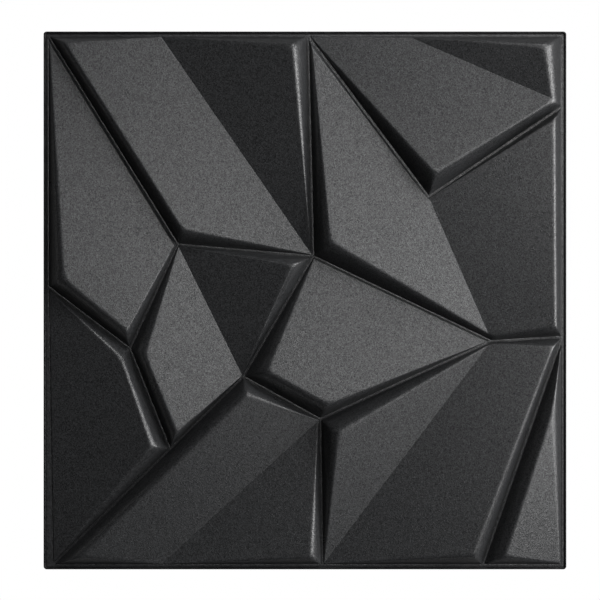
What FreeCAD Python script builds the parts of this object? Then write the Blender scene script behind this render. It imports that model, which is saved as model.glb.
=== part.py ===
import FreeCAD, Part
import math
import os

# Overall size of the tile, mm
TILE_WIDTH = 486.0
TILE_HEIGHT = 500.0
CORNER_RADIUS = 3.0

# The sheet, and the rounding that it takes over the mould's upper edges
SHEET = 1.0
MOULD_EDGE_RADIUS = 4.0
GROOVE_WIDTH = 2.2

# Rim: a round lip along the edge, then a flat strip
LIP_WIDTH = 1.9
LIP_HEIGHT = 1.4
RIM_STRIP = 2.8

# Where grooves meet inside the tile, measured from the tile's centre
INNER_JUNCTIONS = {
    "west_heart": (-118.5, 52.0),
    "west_knee": (-163.0, -45.0),
    "middle": (-57.5, -71.0),
    "heart": (7.5, 41.0),
    "south_heart": (14.0, -110.5),
    "east_knee": (173.0, -38.0),
    "north_heart": (115.0, 96.5),
}

# Where grooves and creases run out on the rim: its side, then how far from a corner of the rim or
# from the tile's centre line
RIM_JUNCTIONS = {
    "west_rim": ("left", "centre", 13.0),
    "south_rim": ("bottom", "centre", 16.0),
    "south_east_rim": ("bottom", "right", 74.4),
    "east_rim": ("right", "centre", -34.0),
    "north_east_rim": ("right", "top", 65.9),
    "north_rim": ("top", "centre", 2.5),
    "north_west_crease": ("top", "left", 104.9),
    "north_east_crease": ("top", "right", 146.4),
    "south_west_crease": ("bottom", "left", 104.4),
    "south_west_end": ("bottom", "left", 4.4),
}

# The long groove from the middle to the south-west end is straight, and another meets it here
WEST_FOOT_FROM_MIDDLE = 96.0

# Height above the grooves where a facet comes down to them, leaving a narrow step
LOW_STEP = 0.8

# Each cell has an outline, clockwise, with the angle from upright of the wall that starts at each
# junction, and one or two facets. A facet is a plane, given by its height above the grooves at
# three junctions. Two facets of a cell meet in a valley.
CELLS = {
    "west": {
        "outline": [("north_west", 32), ("west_heart", 27), ("west_knee", 35), ("west_rim", 35)],
        "facets": [[("north_west", LOW_STEP), ("west_heart", 2.8), ("west_rim", 26.0)]],
    },
    "north_west": {
        "outline": [("north_west", 30), ("north_rim", 31), ("heart", 34), ("west_heart", 30)],
        "facets": [
            [("north_west_crease", LOW_STEP), ("heart", LOW_STEP), ("west_heart", 21.0)],
            [("north_west_crease", LOW_STEP), ("heart", LOW_STEP), ("north_rim", 28.0)],
        ],
    },
    "centre_west": {
        "outline": [("west_heart", 26), ("heart", 33), ("middle", 30), ("west_foot", 32), ("west_knee", 32)],
        "facets": [
            [("west_heart", LOW_STEP), ("middle", LOW_STEP), ("west_foot", 24.0)],
            [("west_heart", LOW_STEP), ("middle", LOW_STEP), ("heart", 25.0)],
        ],
    },
    "east": {
        "outline": [("north_rim", 32), ("north_heart", 24), ("north_east_rim", 31),
                    ("east_rim", 32), ("east_knee", 35), ("heart", 33)],
        "facets": [
            [("north_rim", 3.8), ("north_heart", LOW_STEP), ("heart", 27.5)],
            [("north_heart", LOW_STEP), ("east_knee", 6.1), ("north_east_rim", 20.5)],
        ],
    },
    "north_east": {
        "outline": [("north_rim", 34), ("north_east", 39), ("north_east_rim", 36), ("north_heart", 30)],
        "facets": [
            [("north_rim", LOW_STEP), ("north_heart", 26.0), ("north_east_rim", 14.5)],
            [("north_east_crease", 2.07), ("north_east_rim", 14.5), ("north_east", 30.0)],
        ],
    },
    "south_east": {
        "outline": [("south_heart", 33), ("east_knee", 40), ("east_rim", 34),
                    ("south_east_rim", 29), ("south_rim", 33)],
        "facets": [
            [("south_heart", 30.0), ("south_rim", 1.5), ("east_knee", 1.6)],
            [("south_rim", 1.5), ("east_knee", 1.6), ("south_east_rim", 28.5)],
        ],
    },
    "south_west": {
        "outline": [("west_rim", 36), ("west_knee", 27), ("west_foot", 30), ("south_west_end", 32)],
        "facets": [[("west_rim", 1.2), ("south_west_end", LOW_STEP), ("west_foot", 23.5)]],
    },
    "south": {
        "outline": [("south_west_end", 28), ("middle", 32), ("south_heart", 32), ("south_rim", 30)],
        "facets": [
            [("south_west_crease", LOW_STEP), ("south_heart", LOW_STEP), ("middle", 24.0)],
            [("south_west_crease", LOW_STEP), ("south_heart", LOW_STEP), ("south_rim", 19.0)],
        ],
    },
    "centre_south": {
        "outline": [("middle", 33), ("heart", 32), ("east_knee", 33), ("south_heart", 33)],
        "facets": [[("heart", LOW_STEP), ("east_knee", LOW_STEP), ("middle", 25.0)]],
    },
    "far_south_east": {
        "outline": [("east_rim", 32), ("south_east", 36), ("south_east_rim", 34)],
        "facets": [[("east_rim", 16.0), ("south_east", 2.0), ("south_east_rim", 22.0)]],
    },
}

RIM_WIDTH = LIP_WIDTH + RIM_STRIP
OUTER_EDGE_RADIUS = MOULD_EDGE_RADIUS + SHEET
# A cell's blocks stand on a level this far under their lowest corner, where nothing of them shows
ROOT_DEPTH = 3 * OUTER_EDGE_RADIUS
REACH = 2 * (TILE_WIDTH + TILE_HEIGHT)
FLAT = 1e-4


def rim_half_size():
    """Half the width and height between the rim's junction lines, which lie in the rim's strip."""
    shift = GROOVE_WIDTH / 2 - RIM_WIDTH
    return TILE_WIDTH / 2 + shift, TILE_HEIGHT / 2 + shift


def rim_point(side, start, distance):
    """A junction on one side of the rim, at its distance from a corner or from the centre line."""
    right, top = rim_half_size()
    shares = {"centre": distance, "left": distance - right, "right": right - distance, "top": top - distance}
    along = shares[start]
    places = {"left": (-right, along), "right": (right, along), "top": (along, top), "bottom": (along, -top)}
    return places[side]


def all_junctions():
    """Every junction's place by name, three corners among them."""
    points = dict(INNER_JUNCTIONS)
    for name, place in RIM_JUNCTIONS.items():
        points[name] = rim_point(*place)
    right, top = rim_half_size()
    points["north_west"] = (-right, top)
    points["north_east"] = (right, top)
    points["south_east"] = (right, -top)
    middle = points["middle"]
    end = points["south_west_end"]
    share = WEST_FOOT_FROM_MIDDLE / math.dist(middle, end)
    points["west_foot"] = (middle[0] + share * (end[0] - middle[0]), middle[1] + share * (end[1] - middle[1]))
    return points


def inset(outline, distances):
    """A clockwise outline with each side moved inward by its own distance, the corners mitred."""
    sides = []
    for index, start in enumerate(outline):
        end = outline[(index + 1) % len(outline)]
        length = math.dist(start, end)
        normal_x = (end[1] - start[1]) / length
        normal_y = (start[0] - end[0]) / length
        offset = normal_x * start[0] + normal_y * start[1] + distances[index]
        sides.append((normal_x, normal_y, offset))
    corners = []
    for index, (next_x, next_y, next_offset) in enumerate(sides):
        last_x, last_y, last_offset = sides[index - 1]
        cross = last_x * next_y - last_y * next_x
        x = (last_offset * next_y - next_offset * last_y) / cross
        y = (last_x * next_offset - next_x * last_offset) / cross
        corners.append((x, y))
    return corners


def facet_plane(anchors, points):
    """Height at the tile's centre and slopes along X and Y of the plane through three anchors."""
    (ax, ay), (bx, by), (cx, cy) = [points[name] for name, height in anchors]
    height_a, height_b, height_c = [height for name, height in anchors]
    area = (bx - ax) * (cy - ay) - (cx - ax) * (by - ay)
    slope_x = ((height_b - height_a) * (cy - ay) - (height_c - height_a) * (by - ay)) / area
    slope_y = ((bx - ax) * (height_c - height_a) - (cx - ax) * (height_b - height_a)) / area
    return height_a - slope_x * ax - slope_y * ay, slope_x, slope_y


def polygon_face(corners):
    return Part.Face(Part.makePolygon(corners + [corners[0]]))


def leaning_block(outline, leans, low, high, depth):
    """A block between two levels with leaning walls, each sunk square into the sheet by the depth."""
    rings = []
    for level in (low, high):
        distances = []
        for lean in leans:
            angle = math.radians(lean)
            distances.append(GROOVE_WIDTH / 2 + depth / math.cos(angle) + (level - SHEET) * math.tan(angle))
        rings.append([FreeCAD.Vector(x, y, level) for x, y in inset(outline, distances)])
    bottom, top = rings
    faces = [polygon_face(bottom), polygon_face(top)]
    for index in range(len(outline)):
        after = (index + 1) % len(outline)
        faces.append(polygon_face([bottom[index], bottom[after], top[after], top[index]]))
    return Part.makeSolid(Part.makeShell(faces))


def space_above(height, slope_x, slope_y):
    """Everything above a sloping plane, further than the tile reaches."""
    corners = []
    for x, y in ((-REACH, -REACH), (REACH, -REACH), (REACH, REACH), (-REACH, REACH)):
        corners.append(FreeCAD.Vector(x, y, height + slope_x * x + slope_y * y))
    return polygon_face(corners).extrude(FreeCAD.Vector(0, 0, REACH))


def facet_block(outline, leans, plane, depth):
    """One facet on its leaning walls, its upper edges rounded, sunk into the sheet by the depth."""
    height, slope_x, slope_y = plane
    drop = depth * math.sqrt(1 + slope_x ** 2 + slope_y ** 2)
    level = height + SHEET - drop
    heights = [level + slope_x * x + slope_y * y for x, y in outline]
    root = 2 * min(0, min(heights)) - ROOT_DEPTH
    block = leaning_block(outline, leans, root, max(heights), depth)
    block = block.cut(space_above(level, slope_x, slope_y))
    upper_edges = []
    for edge in block.Edges:
        middle = edge.valueAt((edge.FirstParameter + edge.LastParameter) / 2)
        above_facet = middle.z - level - slope_x * middle.x - slope_y * middle.y
        if abs(above_facet) < FLAT:
            upper_edges.append(edge)
    return block.makeFillet(OUTER_EDGE_RADIUS - depth, upper_edges)


def cell_block(cell, points, depth):
    """A cell with all its facets: the sheet's face at depth 0, its back at the sheet's thickness."""
    outline = [points[name] for name, lean in cell["outline"]]
    leans = [lean for name, lean in cell["outline"]]
    blocks = []
    for anchors in cell["facets"]:
        blocks.append(facet_block(outline, leans, facet_plane(anchors, points), depth))
    joined = blocks[0]
    for block in blocks[1:]:
        joined = joined.fuse(block)
    return joined


def rounded_plate(width, height, radius, low, high):
    """A flat plate with rounded corners, centred on the tile's centre."""
    corner = FreeCAD.Vector(-width / 2, -height / 2, low)
    plate = Part.makeBox(width, height, high - low, corner)
    uprights = [edge for edge in plate.Edges if abs(edge.tangentAt(edge.FirstParameter).z) > 0.9]
    return plate.makeFillet(radius, uprights)


def rim_lip():
    """The round lip along the tile's edge."""
    crest = SHEET + LIP_HEIGHT
    outside = rounded_plate(TILE_WIDTH, TILE_HEIGHT, CORNER_RADIUS, 0, crest)
    inner_width = TILE_WIDTH - 2 * LIP_WIDTH
    inner_height = TILE_HEIGHT - 2 * LIP_WIDTH
    inside = rounded_plate(inner_width, inner_height, CORNER_RADIUS - LIP_WIDTH / 2, 0, crest)
    lip = outside.cut(inside)
    crest_edges = [edge for edge in lip.Edges if edge.BoundBox.ZMin > crest - FLAT]
    return lip.makeFillet(0.45 * LIP_WIDTH, crest_edges)


def wall_panel():
    """The whole formed sheet: the rim, the grooves' floors and the cells, open at the back."""
    points = all_junctions()
    above_back = Part.makeBox(REACH, REACH, REACH, FreeCAD.Vector(-REACH / 2, -REACH / 2, 0))
    body = rounded_plate(TILE_WIDTH, TILE_HEIGHT, CORNER_RADIUS, 0, SHEET).fuse(rim_lip())
    hollows = []
    for cell in CELLS.values():
        body = body.fuse(cell_block(cell, points, 0).common(above_back))
        hollows.append(cell_block(cell, points, SHEET))
    return body.cut(hollows).removeSplitter()


os.makedirs("parts", exist_ok=True)
panel = wall_panel()
panel.exportStep("parts/wall_panel.step")
print("wall_panel: solids", len(panel.Solids), "valid", panel.isValid())
print("volume, cubic centimetres", round(panel.Volume / 1000, 1))
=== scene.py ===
# %% [markdown]
# # A faceted wall tile of formed black sheet
# The object is one thin plastic sheet, drawn hot over a mould. Its face has slanted cells between
# narrow grooves, and a round lip runs along its edge. It lies on a pale floor, face up, and the
# camera looks straight down on it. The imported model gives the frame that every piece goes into.

# %% Load the frame
import math

import bmesh
import bpy
import numpy as np
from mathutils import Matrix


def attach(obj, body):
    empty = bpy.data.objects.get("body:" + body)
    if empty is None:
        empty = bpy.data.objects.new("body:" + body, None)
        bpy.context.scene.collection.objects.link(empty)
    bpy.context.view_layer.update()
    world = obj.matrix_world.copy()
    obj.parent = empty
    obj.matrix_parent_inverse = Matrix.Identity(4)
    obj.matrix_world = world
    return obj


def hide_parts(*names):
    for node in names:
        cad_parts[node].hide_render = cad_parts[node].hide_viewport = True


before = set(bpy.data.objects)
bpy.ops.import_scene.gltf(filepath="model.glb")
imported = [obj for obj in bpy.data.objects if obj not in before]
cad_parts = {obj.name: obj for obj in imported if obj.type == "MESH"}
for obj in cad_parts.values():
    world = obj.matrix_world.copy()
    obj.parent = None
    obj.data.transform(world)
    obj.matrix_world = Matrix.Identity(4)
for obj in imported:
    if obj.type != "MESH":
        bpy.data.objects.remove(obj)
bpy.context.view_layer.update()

# %% [markdown]
# ## Helpers for node materials
# A material is a small network of nodes. Wired by hand, each value and each link takes a line of
# its own. The first helper adds a node and fills its inputs in one call, each with a fixed value
# or with the output that feeds it. The second empties a network, so that nothing is left over
# from Blender's defaults.


# %% Node helpers
def add_node(tree, kind, inputs=None, **settings):
    """A new node of this kind. Each input takes a fixed value, or the output that feeds it."""
    node = tree.nodes.new(kind)
    for name, value in settings.items():
        setattr(node, name, value)
    for name, value in (inputs or {}).items():
        if isinstance(value, bpy.types.NodeSocket):
            tree.links.new(value, node.inputs[name])
        else:
            node.inputs[name].default_value = value
    return node


def empty_tree(owner):
    """The owner's node tree, switched on and cleared."""
    owner.use_nodes = True
    owner.node_tree.nodes.clear()
    return owner.node_tree


# %% [markdown]
# ## The grain of the sheet
# The real sheet is black right through, and its face carries a fine leather grain, pressed in
# when the sheet was rolled. The grain is far finer than any edge of the tile, so it is bump in
# the material and no geometry. The cells of a Voronoi texture, bent by noise, give the pebbles,
# and finer noise breaks up their skin.

# %% Grain
GRAINS_PER_METRE = 1250.0
GRAIN_DEPTH, GRAIN_STRENGTH = 0.00022, 0.4
BENDS_PER_METRE, BEND_REACH = 900.0, 0.0006
SKIN_PER_METRE, SKIN_ROUGHNESS, SKIN_SHARE = 1900.0, 0.6, 0.6
MM_PER_METRE = 1000

black_sheet = bpy.data.materials.new("black_sheet_grained")
tree = empty_tree(black_sheet)
place = add_node(tree, "ShaderNodeTexCoord").outputs["Object"]
bend = add_node(tree, "ShaderNodeTexNoise", {"Vector": place, "Scale": BENDS_PER_METRE, "Detail": 2.0})
bent_place = add_node(
    tree, "ShaderNodeVectorMath",
    {0: bend.outputs["Color"], 1: (BEND_REACH, BEND_REACH, BEND_REACH), 2: place},
    operation="MULTIPLY_ADD",
)
grains = add_node(
    tree, "ShaderNodeTexVoronoi",
    {"Vector": bent_place.outputs["Vector"], "Scale": GRAINS_PER_METRE}, feature="F1",
)
skin = add_node(
    tree, "ShaderNodeTexNoise",
    {"Vector": place, "Scale": SKIN_PER_METRE, "Detail": 2.0, "Roughness": SKIN_ROUGHNESS},
)
relief = add_node(
    tree, "ShaderNodeMath",
    {0: skin.outputs["Fac"], 1: SKIN_SHARE, 2: grains.outputs["Distance"]},
    operation="MULTIPLY_ADD",
)
bump = add_node(
    tree, "ShaderNodeBump",
    {"Strength": GRAIN_STRENGTH, "Distance": GRAIN_DEPTH, "Height": relief.outputs["Value"]},
)
print("pebbles of about", round(MM_PER_METRE / GRAINS_PER_METRE, 2), "mm")

# %% [markdown]
# ## Tone and sheen
# Each pebble catches the light a little differently. The Voronoi texture also gives every cell a
# random colour, so its red channel can set the pebble's tone and its green channel the gloss.
# The sheen as a whole is broad and dull, and larger noise lets it vary over the tile.

# %% Tone, gloss and roughness
TONE_FROM, TONE_TO = 0.45, 1.55
GLOSS_FROM, GLOSS_TO = 0.2, 0.8
SHEET_ROUGHNESS, ROUGHNESS_SWING = 0.29, 0.02
CLOUDS_PER_METRE, CLOUD_ROUGHNESS = 22.0, 0.55
CLOUD_LOW, CLOUD_HIGH = 0.3, 0.7

pebble = add_node(tree, "ShaderNodeSeparateColor", {"Color": grains.outputs["Color"]})
tone = add_node(
    tree, "ShaderNodeMapRange",
    {"Value": pebble.outputs["Red"], "To Min": TONE_FROM, "To Max": TONE_TO},
)
gloss = add_node(
    tree, "ShaderNodeMapRange",
    {"Value": pebble.outputs["Green"], "To Min": GLOSS_FROM, "To Max": GLOSS_TO},
)
clouds = add_node(
    tree, "ShaderNodeTexNoise",
    {"Vector": place, "Scale": CLOUDS_PER_METRE, "Detail": 4.0, "Roughness": CLOUD_ROUGHNESS},
)
roughness = add_node(
    tree, "ShaderNodeMapRange",
    {
        "Value": clouds.outputs["Fac"], "From Min": CLOUD_LOW, "From Max": CLOUD_HIGH,
        "To Min": SHEET_ROUGHNESS - ROUGHNESS_SWING, "To Max": SHEET_ROUGHNESS + ROUGHNESS_SWING,
    },
)
print("roughness", SHEET_ROUGHNESS, "give or take", ROUGHNESS_SWING)

# %% [markdown]
# ## Painted shade on the lip
# The lip around the tile looks darker than its face on all four sides. That is shade, and it is
# painted here: a mask dims the tone and the gloss near the edge, where a second material would
# draw a hard line. It reads how far a point lies inside the nearest side: half the width less the
# size of x, or half the length less the size of y, whichever is less.

# %% Mask of painted shade for the lip
TILE_WIDTH, TILE_HEIGHT = 486.0, 500.0
FULL_SHADE_REACH, NO_SHADE_REACH, LIP_SHADE_TONE = 1.7, 3.6, 0.3


def product(first, second):
    """The output of a node that multiplies two outputs."""
    return add_node(tree, "ShaderNodeMath", {0: first, 1: second}, operation="MULTIPLY").outputs["Value"]


axes = add_node(tree, "ShaderNodeSeparateXYZ", {"Vector": place})
insides = []
for axis, size in (("X", TILE_WIDTH), ("Y", TILE_HEIGHT)):
    away = add_node(tree, "ShaderNodeMath", {0: axes.outputs[axis]}, operation="ABSOLUTE")
    inside = add_node(
        tree, "ShaderNodeMath", {0: size / 2 / MM_PER_METRE, 1: away.outputs["Value"]},
        operation="SUBTRACT",
    )
    insides.append(inside.outputs["Value"])
nearest = add_node(tree, "ShaderNodeMath", {0: insides[0], 1: insides[1]}, operation="MINIMUM")
lip_shade_mask = add_node(
    tree, "ShaderNodeMapRange",
    {
        "Value": nearest.outputs["Value"], "From Min": FULL_SHADE_REACH / MM_PER_METRE,
        "From Max": NO_SHADE_REACH / MM_PER_METRE, "To Min": LIP_SHADE_TONE, "To Max": 1.0,
    },
)
# Painted shade: the mask darkens the tone and weakens the gloss along the lip.
shaded_tone = product(tone.outputs["Result"], lip_shade_mask.outputs["Result"])
shaded_gloss = product(gloss.outputs["Result"], lip_shade_mask.outputs["Result"])
print("the lip has", LIP_SHADE_TONE, "of the face's tone, up to", FULL_SHADE_REACH, "mm in")

# %% [markdown]
# ## The finished material
# One Principled shader takes it all. The colour is nearly black and very slightly blue, as the
# plastic is, and it is scaled by the tone, which carries the painted shade on the lip. The gloss,
# dimmed there too, goes into the specular level, which leaves the width of the sheen to the roughness.

# %% Black grained plastic
SHEET_COLOR = (0.0268, 0.0274, 0.0286)

color = add_node(tree, "ShaderNodeVectorMath", {0: SHEET_COLOR, "Scale": shaded_tone}, operation="SCALE")
shader = add_node(
    tree, "ShaderNodeBsdfPrincipled",
    {
        "IOR": 1.5, "Base Color": color.outputs["Vector"], "Roughness": roughness.outputs["Result"],
        "Specular IOR Level": shaded_gloss, "Normal": bump.outputs["Normal"],
    },
)
add_node(tree, "ShaderNodeOutputMaterial", {"Surface": shader.outputs["BSDF"]})
print("material", black_sheet.name, "with", len(tree.nodes), "nodes")

# %% [markdown]
# ## The relief as a function of place
# The tile's face is one sheet, so its height is a function of two parameters, x and y. All of it
# follows from a short list, in millimetres: where the grooves meet, how far each wall leans, and
# the plane of each facet. The grooves and the facets are the solid's own, but for one corner that
# is a little lower. The leans belong to the curved walls below, and differ from the solid's.

# %% Where the grooves meet
SHEET = 1.0
GROOVE_WIDTH = 2.2
LIP_WIDTH, RIM_STRIP = 1.9, 2.8
WEST_FOOT_REACH = 96.0

HALF = np.array([TILE_WIDTH, TILE_HEIGHT]) / 2 - LIP_WIDTH - RIM_STRIP + GROOVE_WIDTH / 2
junctions = {
    "north_west": (-HALF[0], HALF[1]), "north_east": (HALF[0], HALF[1]),
    "south_east": (HALF[0], -HALF[1]), "south_west_end": (-235.0, -HALF[1]),
    "west_heart": (-118.5, 52.0), "west_knee": (-163.0, -45.0), "middle": (-57.5, -71.0),
    "heart": (7.5, 41.0), "south_heart": (14.0, -110.5), "east_knee": (173.0, -38.0),
    "north_heart": (115.0, 96.5), "west_rim": (-HALF[0], 13.0), "east_rim": (HALF[0], -34.0),
    "north_east_rim": (HALF[0], 180.5), "north_rim": (2.5, HALF[1]),
    "south_rim": (16.0, -HALF[1]), "south_east_rim": (165.0, -HALF[1]),
    "north_west_crease": (-134.5, HALF[1]), "north_east_crease": (93.0, HALF[1]),
    "south_west_crease": (-135.0, -HALF[1]),
}
junctions = {name: np.array(place) for name, place in junctions.items()}
along = junctions["south_west_end"] - junctions["middle"]
junctions["west_foot"] = junctions["middle"] + WEST_FOOT_REACH * along / np.linalg.norm(along)
print(len(junctions), "junctions")

# %% [markdown]
# A cell is a ring of junctions, clockwise, with the lean of the wall that starts at each, in
# degrees from upright. One or two facets close it. A facet is a plane, so three heights above the
# grooves, each at a junction, are enough to place it.

# %% Cells and their facets
STEP = 0.8

cells = {
    "west": (
        [("north_west", 31), ("west_heart", 19), ("west_knee", 33), ("west_rim", 36)],
        [[("north_west", STEP), ("west_heart", 2.8), ("west_rim", 26.0)]]),
    "north_west": (
        [("north_west", 27), ("north_rim", 28), ("heart", 33), ("west_heart", 30)],
        [[("north_west_crease", STEP), ("heart", STEP), ("west_heart", 21.0)],
         [("north_west_crease", STEP), ("heart", STEP), ("north_rim", 28.0)]]),
    "centre_west": (
        [("west_heart", 24), ("heart", 28), ("middle", 15), ("west_foot", 32), ("west_knee", 39)],
        [[("west_heart", STEP), ("middle", STEP), ("west_foot", 24.0)],
         [("west_heart", STEP), ("middle", STEP), ("heart", 25.0)]]),
    "east": (
        [("north_rim", 32), ("north_heart", 14), ("north_east_rim", 29), ("east_rim", 32),
         ("east_knee", 36), ("heart", 32)],
        [[("north_rim", 3.8), ("north_heart", STEP), ("heart", 27.5)],
         [("north_heart", STEP), ("east_knee", 6.1), ("north_east_rim", 20.5)]]),
    "north_east": (
        [("north_rim", 28), ("north_east", 39), ("north_east_rim", 29), ("north_heart", 30)],
        [[("north_rim", STEP), ("north_heart", 26.0), ("north_east_rim", 14.5)],
         [("north_east_crease", 2.07), ("north_east_rim", 14.5), ("north_east", 30.0)]]),
    "south_east": (
        [("south_heart", 33), ("east_knee", 33), ("east_rim", 29), ("south_east_rim", 27),
         ("south_rim", 32)],
        [[("south_heart", 30.0), ("south_rim", 1.5), ("east_knee", 1.6)],
         [("south_rim", 1.5), ("east_knee", 1.6), ("south_east_rim", 27.75)]]),
    "south_west": (
        [("west_rim", 32), ("west_knee", 27), ("west_foot", 32), ("south_west_end", 32)],
        [[("west_rim", 1.2), ("south_west_end", STEP), ("west_foot", 23.5)]]),
    "south": (
        [("south_west_end", 33), ("middle", 26), ("south_heart", 30), ("south_rim", 30)],
        [[("south_west_crease", STEP), ("south_heart", STEP), ("middle", 24.0)],
         [("south_west_crease", STEP), ("south_heart", STEP), ("south_rim", 19.0)]]),
    "centre_south": (
        [("middle", 33), ("heart", 31), ("east_knee", 23), ("south_heart", 34)],
        [[("heart", STEP), ("east_knee", STEP), ("middle", 25.0)]]),
    "far_south_east": (
        [("east_rim", 37), ("south_east", 30), ("south_east_rim", 36)],
        [[("east_rim", 16.0), ("south_east", 2.0), ("south_east_rim", 22.0)]]),
}
print(len(cells), "cells,", sum(len(facets) for outline, facets in cells.values()), "facets")

# %% [markdown]
# A wall starts out as a plane too: its height over the groove is the distance in from its
# junction line, less half a groove, divided by the tangent of its lean. So every wall and every
# facet is three numbers, height = h + a x + b y, and a cell is two small arrays of them. The
# back of the sheet uses the same planes, sunk square into the sheet by its thickness.


# %% Walls and facets as planes
def wall_planes(outline, depth, floor):
    """Rows (h, a, b) of each wall's height above the floor. The depth sinks it into the sheet."""
    corners = np.array([junctions[name] for name, lean in outline])
    leans = np.radians([lean for name, lean in outline])
    step = np.roll(corners, -1, axis=0) - corners
    inward = np.column_stack([step[:, 1], -step[:, 0]]) / np.linalg.norm(step, axis=1)[:, None]
    start = (inward * corners).sum(1) + GROOVE_WIDTH / 2 + depth / np.cos(leans)
    height = SHEET - floor - start / np.tan(leans)
    return np.column_stack([height, inward / np.tan(leans)[:, None]])


def facet_planes(facets, depth, floor):
    """Rows (h, a, b) of each facet's height above the floor, through its three given heights."""
    rows = []
    for anchors in facets:
        places = np.array([[1.0, *junctions[name]] for name, height in anchors])
        plane = np.linalg.solve(places, [height for name, height in anchors])
        plane[0] += SHEET - floor - depth * math.sqrt(1 + plane[1] ** 2 + plane[2] ** 2)
        rows.append(plane)
    return np.array(rows)


def plane_heights(planes, x, y):
    """The height of each plane over each point, one row of the result per plane."""
    return planes[:, 0, None] + planes[:, 1, None] * x + planes[:, 2, None] * y


def facet_at(planes, point):
    """The place in the list of the facet that lies highest over a point."""
    return int(plane_heights(planes, point[:1], point[1:]).argmax())


# %% [markdown]
# The hot sheet was drawn down between the cells over a mould, so its walls are not flat. They
# start steep at the groove and bend over all the way up, until they run into the facet without an
# edge. A parabola gives that bend. Where walls meet, their heights go into a soft minimum, the
# power mean with a negative power, whose rounding grows with height as it does on the tile.
# Where a cell has a corner that points inward, the higher of the two walls there counts.

# %% The height of a cell
WALL_CORNER_POWER = 6.0
WALL_END = 1.18
LEAST_HEIGHT = 1e-3


def reflex_corner(outline):
    """The place in the outline of a corner that points into the cell, or None."""
    corners = np.array([junctions[name] for name, lean in outline])
    before, after = corners - np.roll(corners, 1, axis=0), np.roll(corners, -1, axis=0) - corners
    turn = before[:, 0] * after[:, 1] - before[:, 1] * after[:, 0]
    return int(np.argmax(turn)) if turn.max() > 0 else None


def cell_height(walls, facets, reflex, x, y):
    """Height above the groove floor of a cell with these walls and facets, over points x, y.

    With w the soft minimum of the walls, f a facet's height and t = w / (f WALL_END), at most 1,
    the height is the parabola f (1 - (1 - t) squared), and the greater of two facets counts.
    """
    heights = np.maximum(plane_heights(walls, x, y), LEAST_HEIGHT)
    if reflex is not None:
        heights[reflex - 1] = np.maximum(heights[reflex - 1], heights[reflex])
        heights = np.delete(heights, reflex, 0)
    rise = (heights ** -WALL_CORNER_POWER).sum(0) ** (-1 / WALL_CORNER_POWER)
    height = np.zeros_like(rise)
    for level in np.maximum(plane_heights(facets, x, y), LEAST_HEIGHT):
        share = np.minimum(rise / (level * WALL_END), 1)
        height = np.maximum(height, level * (1 - (1 - share) ** 2))
    return height


# %% [markdown]
# A thin light line runs along each groove in the photograph, even where the groove is in shade.
# A low round bead on the groove's floor, a tenth of a millimetre high, gives that line, since
# some part of an arch always faces the lamps.

# %% The bead in the grooves
BEAD_HEIGHT = 0.13


def bead_arch(share):
    """The bead's height at a share of the way from the groove's middle to its side."""
    return BEAD_HEIGHT * (1 - share ** 2)


def bead_height(walls, x, y):
    """The bead's height inside a cell's outline, from the distance to the nearest groove line."""
    away = plane_heights(walls, x, y) / np.linalg.norm(walls[:, 1:], axis=1)[:, None]
    return bead_arch(np.clip(1 + away.min(0) / (GROOVE_WIDTH / 2), 0, 1))


# %% [markdown]
# ## Valleys
# Two facets of a cell meet in a valley, which is where their planes are level with each other.
# The mesh needs points along that line, or the valley would be blurred. So each valley's two ends
# are worked out first, and an end that falls next to a junction takes the junction's place.

# %% Where the valleys end
LEVEL_GAP = 0.05
SAME_PLACE = 0.3


def valley_ends(outline, facets):
    """The two points where the difference of two facets' heights is zero on the outline."""
    corners = np.array([junctions[name] for name, lean in outline])
    gap = (facets[0] - facets[1]) @ np.column_stack([np.ones(len(corners)), corners]).T
    gap = np.where(np.abs(gap) < LEVEL_GAP, 0, gap)
    ends = [corner for corner, value in zip(corners, gap) if value == 0]
    after, gap_after = np.roll(corners, -1, axis=0), np.roll(gap, -1)
    for start, end, low, high in zip(corners, after, gap, gap_after):
        if low * high < 0:
            ends.append(start + (end - start) * low / (low - high))
    return ends


all_points = list(junctions.values())
valleys = {}
for name, (outline, facets) in cells.items():
    if len(facets) == 2:
        valleys[name] = []
        for end in valley_ends(outline, facet_planes(facets, 0, SHEET)):
            distances = [np.linalg.norm(end - point) for point in all_points]
            if min(distances) < SAME_PLACE:
                end = all_points[int(np.argmin(distances))]
            else:
                all_points.append(end)
            valleys[name].append(end)
        print(name, "valley:", *[np.round(end, 1) for end in valleys[name]])

# %% [markdown]
# ## A grid that follows the grooves
# A square grid would draw every slanting edge as a staircase. So the grid is carried around each
# cell: one parameter runs along its outline, the other from the groove inward over the foot,
# the wall, the rounded edge and onto the facet. At each corner a bent line leads inward, and the
# rings between two corners are straight blends of their two lines. The rings are closest together
# near the upper edge, where the sheet bends most.

# %% Lines that lead inward from the corners
FOOT_RINGS, WALL_RINGS, EDGE_RINGS = 4, 14, 6
EDGE_REACH = 7.5
RING_GRADING = 1.5


def solve_pair(first, second):
    """The point where two rows (h, a, b) are both level with zero."""
    return np.linalg.solve(np.array([first[1:], second[1:]]), -np.array([first[0], second[0]]))


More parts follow.
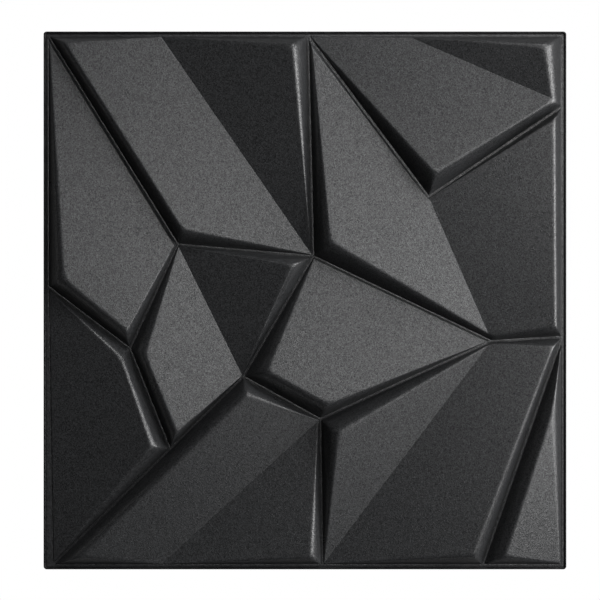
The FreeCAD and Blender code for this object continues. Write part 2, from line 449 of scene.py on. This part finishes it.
def inward_line(corner, toward, reflex, before, after, facet):
    """Points from a corner over the foot and the upper edge onto the facet.

    Before and after are the walls' rows on either side. Where a valley starts, toward is its
    other end and the line follows it. Elsewhere each point is where both walls' own lines meet.
    """
    stops = [corner]
    above = [row - facet for row in (before, after)]
    inset = [row - np.array([EDGE_REACH * np.linalg.norm(row[1:]), 0, 0]) for row in above]
    for rows in ((before, after), above, inset):
        if toward is None:
            stops.append(solve_pair(*rows))
        else:
            way = (toward - corner) / np.linalg.norm(toward - corner)
            reached = [-(row[0] + row[1:] @ corner) / (row[1:] @ way) for row in rows]
            stops.append(corner + way * (min(reached) if reflex else max(reached)))
    foot = np.linspace(0, 1, FOOT_RINGS + 1)
    wall = 2 - (1 - np.linspace(0, 1, WALL_RINGS + 1)[1:]) ** RING_GRADING
    edge = 2 + np.linspace(0, 1, EDGE_RINGS + 1)[1:] ** RING_GRADING
    place = np.concatenate([foot, wall, edge])
    bent = [np.interp(place, range(4), [stop[axis] for stop in stops]) for axis in (0, 1)]
    return np.column_stack(bent)


print(FOOT_RINGS + WALL_RINGS + EDGE_RINGS, "rings from the groove to the facet")

# %% [markdown]
# Along a side the points crowd together towards the junctions, where walls meet and the sheet
# bends both ways. Two cells that share a groove must have the same points on it, so the spacing
# depends only on the junction line and on the junctions that lie on it, and not on the cell.

# %% Points along a side
SAMPLE_SPACING = 6.0
LEAST_SAMPLES = 8
CROWDING = 0.8
ON_LINE = 0.01


def spread(count):
    """Shares from 0 to 1, closer together near both ends: t less a part of a sine wave."""
    t = np.linspace(0, 1, count + 1)
    return t - CROWDING * np.sin(2 * np.pi * t) / (2 * np.pi)


def shares_along(start, end):
    """Shares of the way from start to end, spread between all junctions that lie on it."""
    way = end - start
    length = np.linalg.norm(way)
    places = np.array(all_points) - start
    share = places @ way / length ** 2
    off = np.abs(places[:, 0] * way[1] - places[:, 1] * way[0]) / length
    between = share[(off < ON_LINE) & (share > 0) & (share < 1)]
    stops = np.unique(np.round(np.concatenate([[0, 1], between]), 9))
    pieces = [np.zeros(1)]
    for low, high in zip(stops[:-1], stops[1:]):
        count = int(round((high - low) * length, 3) / SAMPLE_SPACING) + LEAST_SAMPLES
        pieces.append(low + (high - low) * spread(count)[1:])
    return np.concatenate(pieces)


def blend(start, end, shares):
    """Points between two arrays of points: one less the share of start, plus the share of end."""
    return start[None] + shares[:, None, None] * (end - start)[None]


# %% [markdown]
# A cell's outline has a corner at each junction, and one more where a valley ends on a side. Each
# stretch between two corners gives one grid, from the groove to a line inside the upper edge.

# %% Grids around a cell
TINY = 1e-6


def outline_corners(outline, ends, reflex):
    """The corners in order: (point, wall before, wall after, whether it points inward)."""
    corners = []
    for index, (junction, lean) in enumerate(outline):
        start, end = junctions[junction], junctions[outline[(index + 1) % len(outline)][0]]
        corners.append((start, index - 1, index, index == reflex))
        for point in ends:
            share = (point - start) @ (end - start) / ((end - start) @ (end - start))
            off = np.linalg.norm(start + share * (end - start) - point)
            if TINY < share < 1 - TINY and off < ON_LINE:
                corners.append((point, index, index, False))
    return corners


def side_grids(corners, ends, walls, planes):
    """The grids between neighbouring inward lines, those lines, and the ones that are a valley's."""
    lines, tips = [], []
    for point, before, after, is_reflex in corners:
        met = [np.linalg.norm(point - end) < ON_LINE for end in ends]
        toward = ends[1 - met.index(True)] if any(met) else None
        facet = planes[facet_at(planes, point)]
        lines.append(inward_line(point, toward, is_reflex, walls[before], walls[after], facet))
        if any(met):
            tips.append(lines[-1][-1])
    grids = []
    for index, (point, *rest) in enumerate(corners):
        following = (index + 1) % len(corners)
        shares = shares_along(point, corners[following][0])
        grids.append(blend(lines[index], lines[following], shares))
    return grids, lines, tips


# %% [markdown]
# What is left inside is the middle of each facet, which is flat. Its edges are the last rings of
# the grids around it, and the valley if it has one. Straight lines from all of them to one centre
# fill it. Then every grid point gets its height, and the grids of both sides are done.

# %% A cell's grids
VALLEY_SAMPLES = 24
CORE_RINGS = 3
GROOVE_LEVEL = 0.003


def core_grids(grids, lines, tips, planes):
    """Grids over the middle of each facet: each point of an edge blended with the centre."""
    cores = {facet: [] for facet in range(len(planes))}
    for index, grid in enumerate(grids):
        middle = (lines[index][-1] + lines[(index + 1) % len(lines)][-1]) / 2
        cores[facet_at(planes, middle)].append(grid[:, -1])
    if tips:
        valley = tips[0] + spread(VALLEY_SAMPLES)[:, None] * (tips[1] - tips[0])
        for core in cores.values():
            core.append(valley)
    inward = np.linspace(0, 1, CORE_RINGS + 1)
    filled = []
    for core in cores.values():
        centre = np.mean([edge[place] for edge in core for place in (0, -1)], axis=0)
        filled += [edge[:, None] + inward[None, :, None] * (centre - edge)[:, None] for edge in core]
    return filled


def cell_grids(name, depth, floor):
    """Grids of points (x, y, z) that cover one cell on one side of the sheet."""
    outline, facets = cells[name]
    walls, planes = wall_planes(outline, depth, floor), facet_planes(facets, depth, floor)
    reflex = reflex_corner(outline)
    ends = valleys.get(name, [])
    corners = outline_corners(outline, ends, reflex)
    grids, lines, tips = side_grids(corners, ends, walls, planes)
    shaped = []
    for grid in grids + core_grids(grids, lines, tips, planes):
        x, y = grid[..., 0].ravel(), grid[..., 1].ravel()
        z = cell_height(walls, planes, reflex, x, y)
        strip = bead_height(walls, x, y) if depth == 0 else np.zeros_like(z)
        z = floor + np.where(z < GROOVE_LEVEL, strip, z)
        shaped.append(np.dstack([grid, z.reshape(grid.shape[:2])]))
    return shaped


# %% [markdown]
# A grid of points becomes a mesh when each small square of neighbours is named as a quad, by its
# four vertex numbers. A face should point outwards, up on the face of the sheet and down on its
# back, so a quad whose plan area has the wrong sign is turned over.

# %% Grids to quads
def grid_quads(grid, first):
    """Vertex numbers of each quad of a grid whose vertices start at the number first."""
    rows, columns = grid.shape[:2]
    number = first + np.arange(rows * columns).reshape(rows, columns)
    around = [number[:-1, :-1], number[:-1, 1:], number[1:, 1:], number[1:, :-1]]
    return np.stack(around, -1).reshape(-1, 4)


def plan_area(points, quads):
    """Signed area of each quad seen from above, positive where its corners run anticlockwise."""
    x, y = points[quads, 0], points[quads, 1]
    return 0.5 * (x * np.roll(y, -1, axis=1) - np.roll(x, -1, axis=1) * y).sum(1)


points, quads, count, folded = [], [], 0, 0
for depth, floor, upward in ((0.0, SHEET, True), (SHEET, 0.0, False)):
    for name in cells:
        for grid in cell_grids(name, depth, floor):
            flat = grid.reshape(-1, 3)
            found = grid_quads(grid, 0)
            area = plan_area(flat, found)
            folded += int((area > TINY).any() and (area < -TINY).any())
            wrong = (area > 0) != upward
            found[wrong] = found[wrong][:, ::-1]
            points.append(flat)
            quads.append(found + count)
            count += len(flat)
print("points", count, "quads", sum(len(part) for part in quads), "folded grids", folded)

# %% [markdown]
# ## The rim
# The edge of the sheet is turned up into a round lip, with a narrow flat strip inside it. That is
# a profile carried along a path: the profile is drawn once, as distance out from the junction
# lines against height, and the path runs around the tile. It starts on the bead of the outer
# grooves, goes over the lip in two quarter circles, turns in at the cut edge and ends on the back.

# %% Rim profile
LIP_HEIGHT = 1.4
LIP_OUTSIDE = LIP_WIDTH + RIM_STRIP - GROOVE_WIDTH / 2
LIP_INSIDE = LIP_OUTSIDE - LIP_WIDTH
LIP_ROUND, QUARTER_SAMPLES = 0.45 * LIP_WIDTH, 8
LIP_FOOT = np.array([(-0.4, 0.0), (-0.1, 0.04), (0.0, 0.2)])
CUT_EDGE = np.array([(0.0, 0.35), (-0.1, 0.1), (-0.35, 0.0)])
CREST = SHEET + LIP_HEIGHT

groove = np.linspace(0, 1, FOOT_RINGS + 1)
quarter = np.linspace(0, np.pi / 2, QUARTER_SAMPLES)
inner_side = LIP_INSIDE + LIP_ROUND * (1 - np.cos(quarter))
outer_side = LIP_OUTSIDE - LIP_ROUND * (1 - np.sin(quarter))
profile = np.vstack([
    np.column_stack([groove * GROOVE_WIDTH / 2, SHEET + bead_arch(groove)]),
    LIP_FOOT + [LIP_INSIDE, SHEET],
    np.column_stack([inner_side, CREST - LIP_ROUND * (1 - np.sin(quarter))]),
    np.column_stack([outer_side, CREST - LIP_ROUND * (1 - np.cos(quarter))]),
    CUT_EDGE + [LIP_OUTSIDE, 0],
    [(0, 0)],
])
print(len(profile), "points in the rim's profile, its crest at", CREST, "mm")

# %% [markdown]
# The path is four straight sides and four corners. A corner turns the profile through a quarter
# circle. Its outside has the tile's corner radius, and further in the radius shrinks, until the
# innermost points meet in one plain mitre. At the south west the outermost junction stands a
# little off the tile's own corner, so there the profile starts on the cells' edge and the rest of
# it keeps to the rim's line.

# %% Rim path
CORNER_RADIUS = 3.0
CORNER_SAMPLES = 9


def straight_run(start, end, line_start=None, line_end=None):
    """Grid along one side: first points from start to end, the rest square out from the line.

    The rim's line is the same as start to end unless its own ends are given.
    """
    line_start = start if line_start is None else line_start
    line_end = end if line_end is None else line_end
    shares = shares_along(start, end)[:, None, None]
    way = (line_end - line_start) / np.linalg.norm(line_end - line_start)
    out = np.array([way[1], -way[0]])
    base = start + shares * (end - start)
    line = line_start + shares * (line_end - line_start) + profile[None, :, :1] * out
    return np.where(profile[None, :, :1] == 0, base, line)


def corner_run(base, corner, first_angle):
    """Grid around one corner: each ring's radius shrinks inward until it is a plain mitre."""
    turn = first_angle + np.linspace(0, np.pi / 2, CORNER_SAMPLES)
    away = np.sign(corner)
    distance = profile[:, :1]
    radius = np.maximum(CORNER_RADIUS - (LIP_OUTSIDE - distance), 0)
    centre = corner + away * (distance - radius)
    ring = np.column_stack([np.cos(turn), np.sin(turn)])
    line = centre[None] + radius[None] * ring[:, None]
    sides = corner + distance[None] * np.round(ring[[0, -1]])[:, None]
    line = np.concatenate([sides[:1], line, sides[1:]])
    return np.where(distance[None] == 0, base, line)


south_east, north_east = junctions["south_east"], junctions["north_east"]
north_west, west_rim = junctions["north_west"], junctions["west_rim"]
south_west, south_west_end = -HALF, junctions["south_west_end"]
runs = [
    straight_run(south_east, north_east),
    corner_run(north_east, north_east, 0),
    straight_run(north_east, north_west),
    corner_run(north_west, north_west, np.pi / 2),
    straight_run(north_west, west_rim),
    straight_run(west_rim, south_west_end, west_rim, south_west),
    corner_run(south_west_end, south_west, np.pi),
    straight_run(south_west_end, south_east, south_west, south_east),
    corner_run(south_east, south_east, 1.5 * np.pi),
]
for run in runs:
    height = np.broadcast_to(profile[None, :, 1:], run.shape[:2] + (1,))
    points.append(np.concatenate([run, height], axis=2).reshape(-1, 3))
    quads.append(grid_quads(run, count))
    count += len(points[-1])
print("points with the rim", count)

# %% [markdown]
# ## One closed sheet
# The grids share the points on their borders, so merging equal points closes the sheet. It is
# smooth nearly everywhere, but a few edges are crisp: the feet of the walls and the valleys. They
# are found by how sharply the surface turns there, and marked, while all others are shaded smooth.

# %% Merge and shade
MERGE_DISTANCE = 3e-6
SHARP_TURN = math.radians(17)

sheet_mesh = bpy.data.meshes.new("formed_sheet")
vertices = np.concatenate(points) / MM_PER_METRE
sheet_mesh.from_pydata(vertices.tolist(), [], np.concatenate(quads).tolist())
work = bmesh.new()
work.from_mesh(sheet_mesh)
bmesh.ops.remove_doubles(work, verts=work.verts, dist=MERGE_DISTANCE)
bmesh.ops.dissolve_degenerate(work, edges=work.edges, dist=MERGE_DISTANCE)
open_edges = sum(not edge.is_manifold for edge in work.edges)
volume = work.calc_volume(signed=True)
work.to_mesh(sheet_mesh)
work.free()
sheet_mesh.shade_smooth()
sheet_mesh.set_sharp_from_angle(angle=SHARP_TURN)
triangles = sum(len(face.vertices) - 2 for face in sheet_mesh.polygons)
print("formed sheet:", triangles, "triangles,", open_edges, "open edges")
print("plastic in it:", round(volume * 1e6, 1), "cubic centimetres")

# %% [markdown]
# ## The sheet in the frame
# The finished sheet stands in for the imported one. It rides on the root body, because nothing on
# the tile moves, and it carries the black sheet's material.

# %% Hand the sheet to the frame
formed_sheet = bpy.data.objects.new("formed_sheet", sheet_mesh)
bpy.context.scene.collection.objects.link(formed_sheet)
sheet_mesh.materials.append(black_sheet)
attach(formed_sheet, "root")
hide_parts("wall_panel")
print(formed_sheet.name, "carries", sheet_mesh.materials[0].name)

# %% [markdown]
# ## White to look at
# The photograph's ground is plain white, yet the tile has no pale light on it from below. So the
# floor and the world are white only to rays that look at them. A Light Path node tells those
# apart: camera rays see full white, and mirrored rays see it as far as a share between 0 and 1
# allows. All other rays, which light the tile, meet the real surface.


# %% Who sees white
WHITE = (1.0, 1.0, 1.0, 1.0)


def white_share(tree, mirror_share):
    """How white a ray sees it: 1 for the camera, and mirror_share for mirrored rays."""
    path = add_node(tree, "ShaderNodeLightPath")
    mirrored = add_node(
        tree, "ShaderNodeMath",
        {0: path.outputs["Is Glossy Ray"], 1: path.outputs["Is Transmission Ray"]},
        operation="ADD", use_clamp=True,
    )
    seen = add_node(
        tree, "ShaderNodeMath",
        {0: mirrored.outputs["Value"], 1: mirror_share, 2: path.outputs["Is Camera Ray"]},
        operation="MULTIPLY_ADD", use_clamp=True,
    )
    return seen.outputs["Value"]


# %% [markdown]
# ## Floor
# The floor is a wide flat disc just under the tile. Close to the tile, mirrored rays meet its
# real paint, with the tile's soft shadow on it. Further out it turns white to them as well, so
# that a grazing sheen shows the pale ground.

# %% Pale floor
FLOOR_RADIUS, FLOOR_SIDES, FLOOR_DROP = 30.0, 96, 0.0004
FLOOR_PAINT = (0.12, 0.12, 0.12, 1.0)
SHADOW_START, SHADOW_END = 0.40, 0.90

angles = np.linspace(0, 2 * np.pi, FLOOR_SIDES, endpoint=False)
height = np.full(FLOOR_SIDES, -FLOOR_DROP)
ring = np.column_stack([FLOOR_RADIUS * np.cos(angles), FLOOR_RADIUS * np.sin(angles), height])
floor_mesh = bpy.data.meshes.new("floor")
floor_mesh.from_pydata(ring.tolist(), [], [list(range(FLOOR_SIDES))])
floor = bpy.data.objects.new("floor", floor_mesh)
bpy.context.scene.collection.objects.link(floor)

floor_material = bpy.data.materials.new("pale_floor")
tree = empty_tree(floor_material)
place = add_node(tree, "ShaderNodeTexCoord").outputs["Object"]
distance = add_node(tree, "ShaderNodeVectorMath", {0: place}, operation="LENGTH")
beyond = add_node(
    tree, "ShaderNodeMapRange",
    {"Value": distance.outputs["Value"], "From Min": SHADOW_START, "From Max": SHADOW_END},
    interpolation_type="SMOOTHSTEP",
)
seen = white_share(tree, beyond.outputs["Result"])
paint = add_node(tree, "ShaderNodeBsdfDiffuse", {"Color": FLOOR_PAINT})
white = add_node(tree, "ShaderNodeEmission", {"Color": WHITE, "Strength": 1.0})
mixer = add_node(
    tree, "ShaderNodeMixShader", {"Fac": seen, 1: paint.outputs["BSDF"], 2: white.outputs["Emission"]},
)
add_node(tree, "ShaderNodeOutputMaterial", {"Surface": mixer.outputs["Shader"]})
floor_mesh.materials.append(floor_material)
print("floor of", FLOOR_RADIUS, "m, mirrored as white from", SHADOW_END, "m out")

# %% [markdown]
# ## World
# The world gives the tile hardly any light, so that the walls that face away from the lamps stay
# dark. Mirrored rays see white in a low band above the horizon, where the floor ends, and the
# dark above it. The band gives the rounded upper edges of those walls a faint sheen.

# %% Dark studio with a pale horizon
HORIZON_BAND = 0.07
AMBIENT = 0.01

world = bpy.data.worlds.new("studio")
bpy.context.scene.world = world
tree = empty_tree(world)
place = add_node(tree, "ShaderNodeTexCoord").outputs["Generated"]
axes = add_node(tree, "ShaderNodeSeparateXYZ", {"Vector": place})
low = add_node(
    tree, "ShaderNodeMapRange",
    {"Value": axes.outputs["Z"], "From Min": HORIZON_BAND, "From Max": 0.0},
    interpolation_type="SMOOTHSTEP",
)
seen = white_share(tree, low.outputs["Result"])
dim = add_node(tree, "ShaderNodeBackground", {"Color": WHITE, "Strength": AMBIENT})
bright = add_node(tree, "ShaderNodeBackground", {"Color": WHITE, "Strength": 1.0})
mixer = add_node(
    tree, "ShaderNodeMixShader",
    {"Fac": seen, 1: dim.outputs["Background"], 2: bright.outputs["Background"]},
)
add_node(tree, "ShaderNodeOutputWorld", {"Surface": mixer.outputs["Shader"]})
print("world", world.name, "lights the tile at", AMBIENT)

# %% [markdown]
# ## Lamps
# In the photograph the walls and facets that face right are bright, and the walls that face left
# are nearly black, so the light comes from the right. One lamp can't light the steep walls and
# the flat facets alike, so three stand there, one above the other. A weak one at the lower right
# lifts the facets that lean that way a little, and two at the upper right do so for those that
# lean towards the top. All are soft, and far enough away to light both ends of the tile.

# %% Soft lamps
LAMP_DISTANCE = 2.2


def soft_lamp(name, azimuth, elevation, width, height, power):
    """A flat lamp in a direction given in degrees, from +X towards +Y and up, facing the tile."""
    azimuth, elevation = math.radians(azimuth), math.radians(elevation)
    lamp = bpy.data.lights.new(name, "AREA")
    lamp.shape = "RECTANGLE"
    lamp.size = width
    lamp.size_y = height
    lamp.energy = power
    thing = bpy.data.objects.new(name, lamp)
    thing.location = (
        LAMP_DISTANCE * math.cos(elevation) * math.cos(azimuth),
        LAMP_DISTANCE * math.cos(elevation) * math.sin(azimuth),
        LAMP_DISTANCE * math.sin(elevation),
    )
    thing.rotation_euler = (math.pi / 2 - elevation, 0, azimuth + math.pi / 2)
    bpy.context.scene.collection.objects.link(thing)
    return thing


lamps = [
    soft_lamp("low_lamp", 5, 13, 1.5, 0.6, 26),
    soft_lamp("side_lamp", 8, 32, 1.5, 0.6, 27),
    soft_lamp("upper_lamp", 6, 52, 1.7, 0.6, 13.5),
    soft_lamp("lower_lamp", -40, 53, 0.8, 0.6, 2.7),
    soft_lamp("back_lamp", 64, 34, 1.0, 0.6, 18),
    soft_lamp("top_lamp", 52, 72, 0.7, 0.5, 7.5),
]
print(len(lamps), "lamps,", round(sum(thing.data.energy for thing in lamps), 1), "W")

# %% [markdown]
# ## The camera
# The photograph looks straight down on the tile from about 1.3 m. Its frame is 558 mm wide at
# the floor, and the tile's middle lies a little to the right of the picture's middle.

# %% Camera
CAMERA_HEIGHT = 1.30
CAMERA_SHIFT = (-0.0046, 0.0004)
FIELD_AT_FLOOR = 0.5585
SENSOR_WIDTH = 36.0

camera_data = bpy.data.cameras.new("camera")
camera_data.sensor_width = SENSOR_WIDTH
camera_data.lens = SENSOR_WIDTH * CAMERA_HEIGHT / FIELD_AT_FLOOR
camera = bpy.data.objects.new("camera", camera_data)
camera.location = (*CAMERA_SHIFT, CAMERA_HEIGHT)
bpy.context.scene.collection.objects.link(camera)
bpy.context.scene.camera = camera
bpy.context.scene.view_settings.view_transform = "Standard"
print("camera at", CAMERA_HEIGHT, "m with a lens of", round(camera_data.lens, 1), "mm")
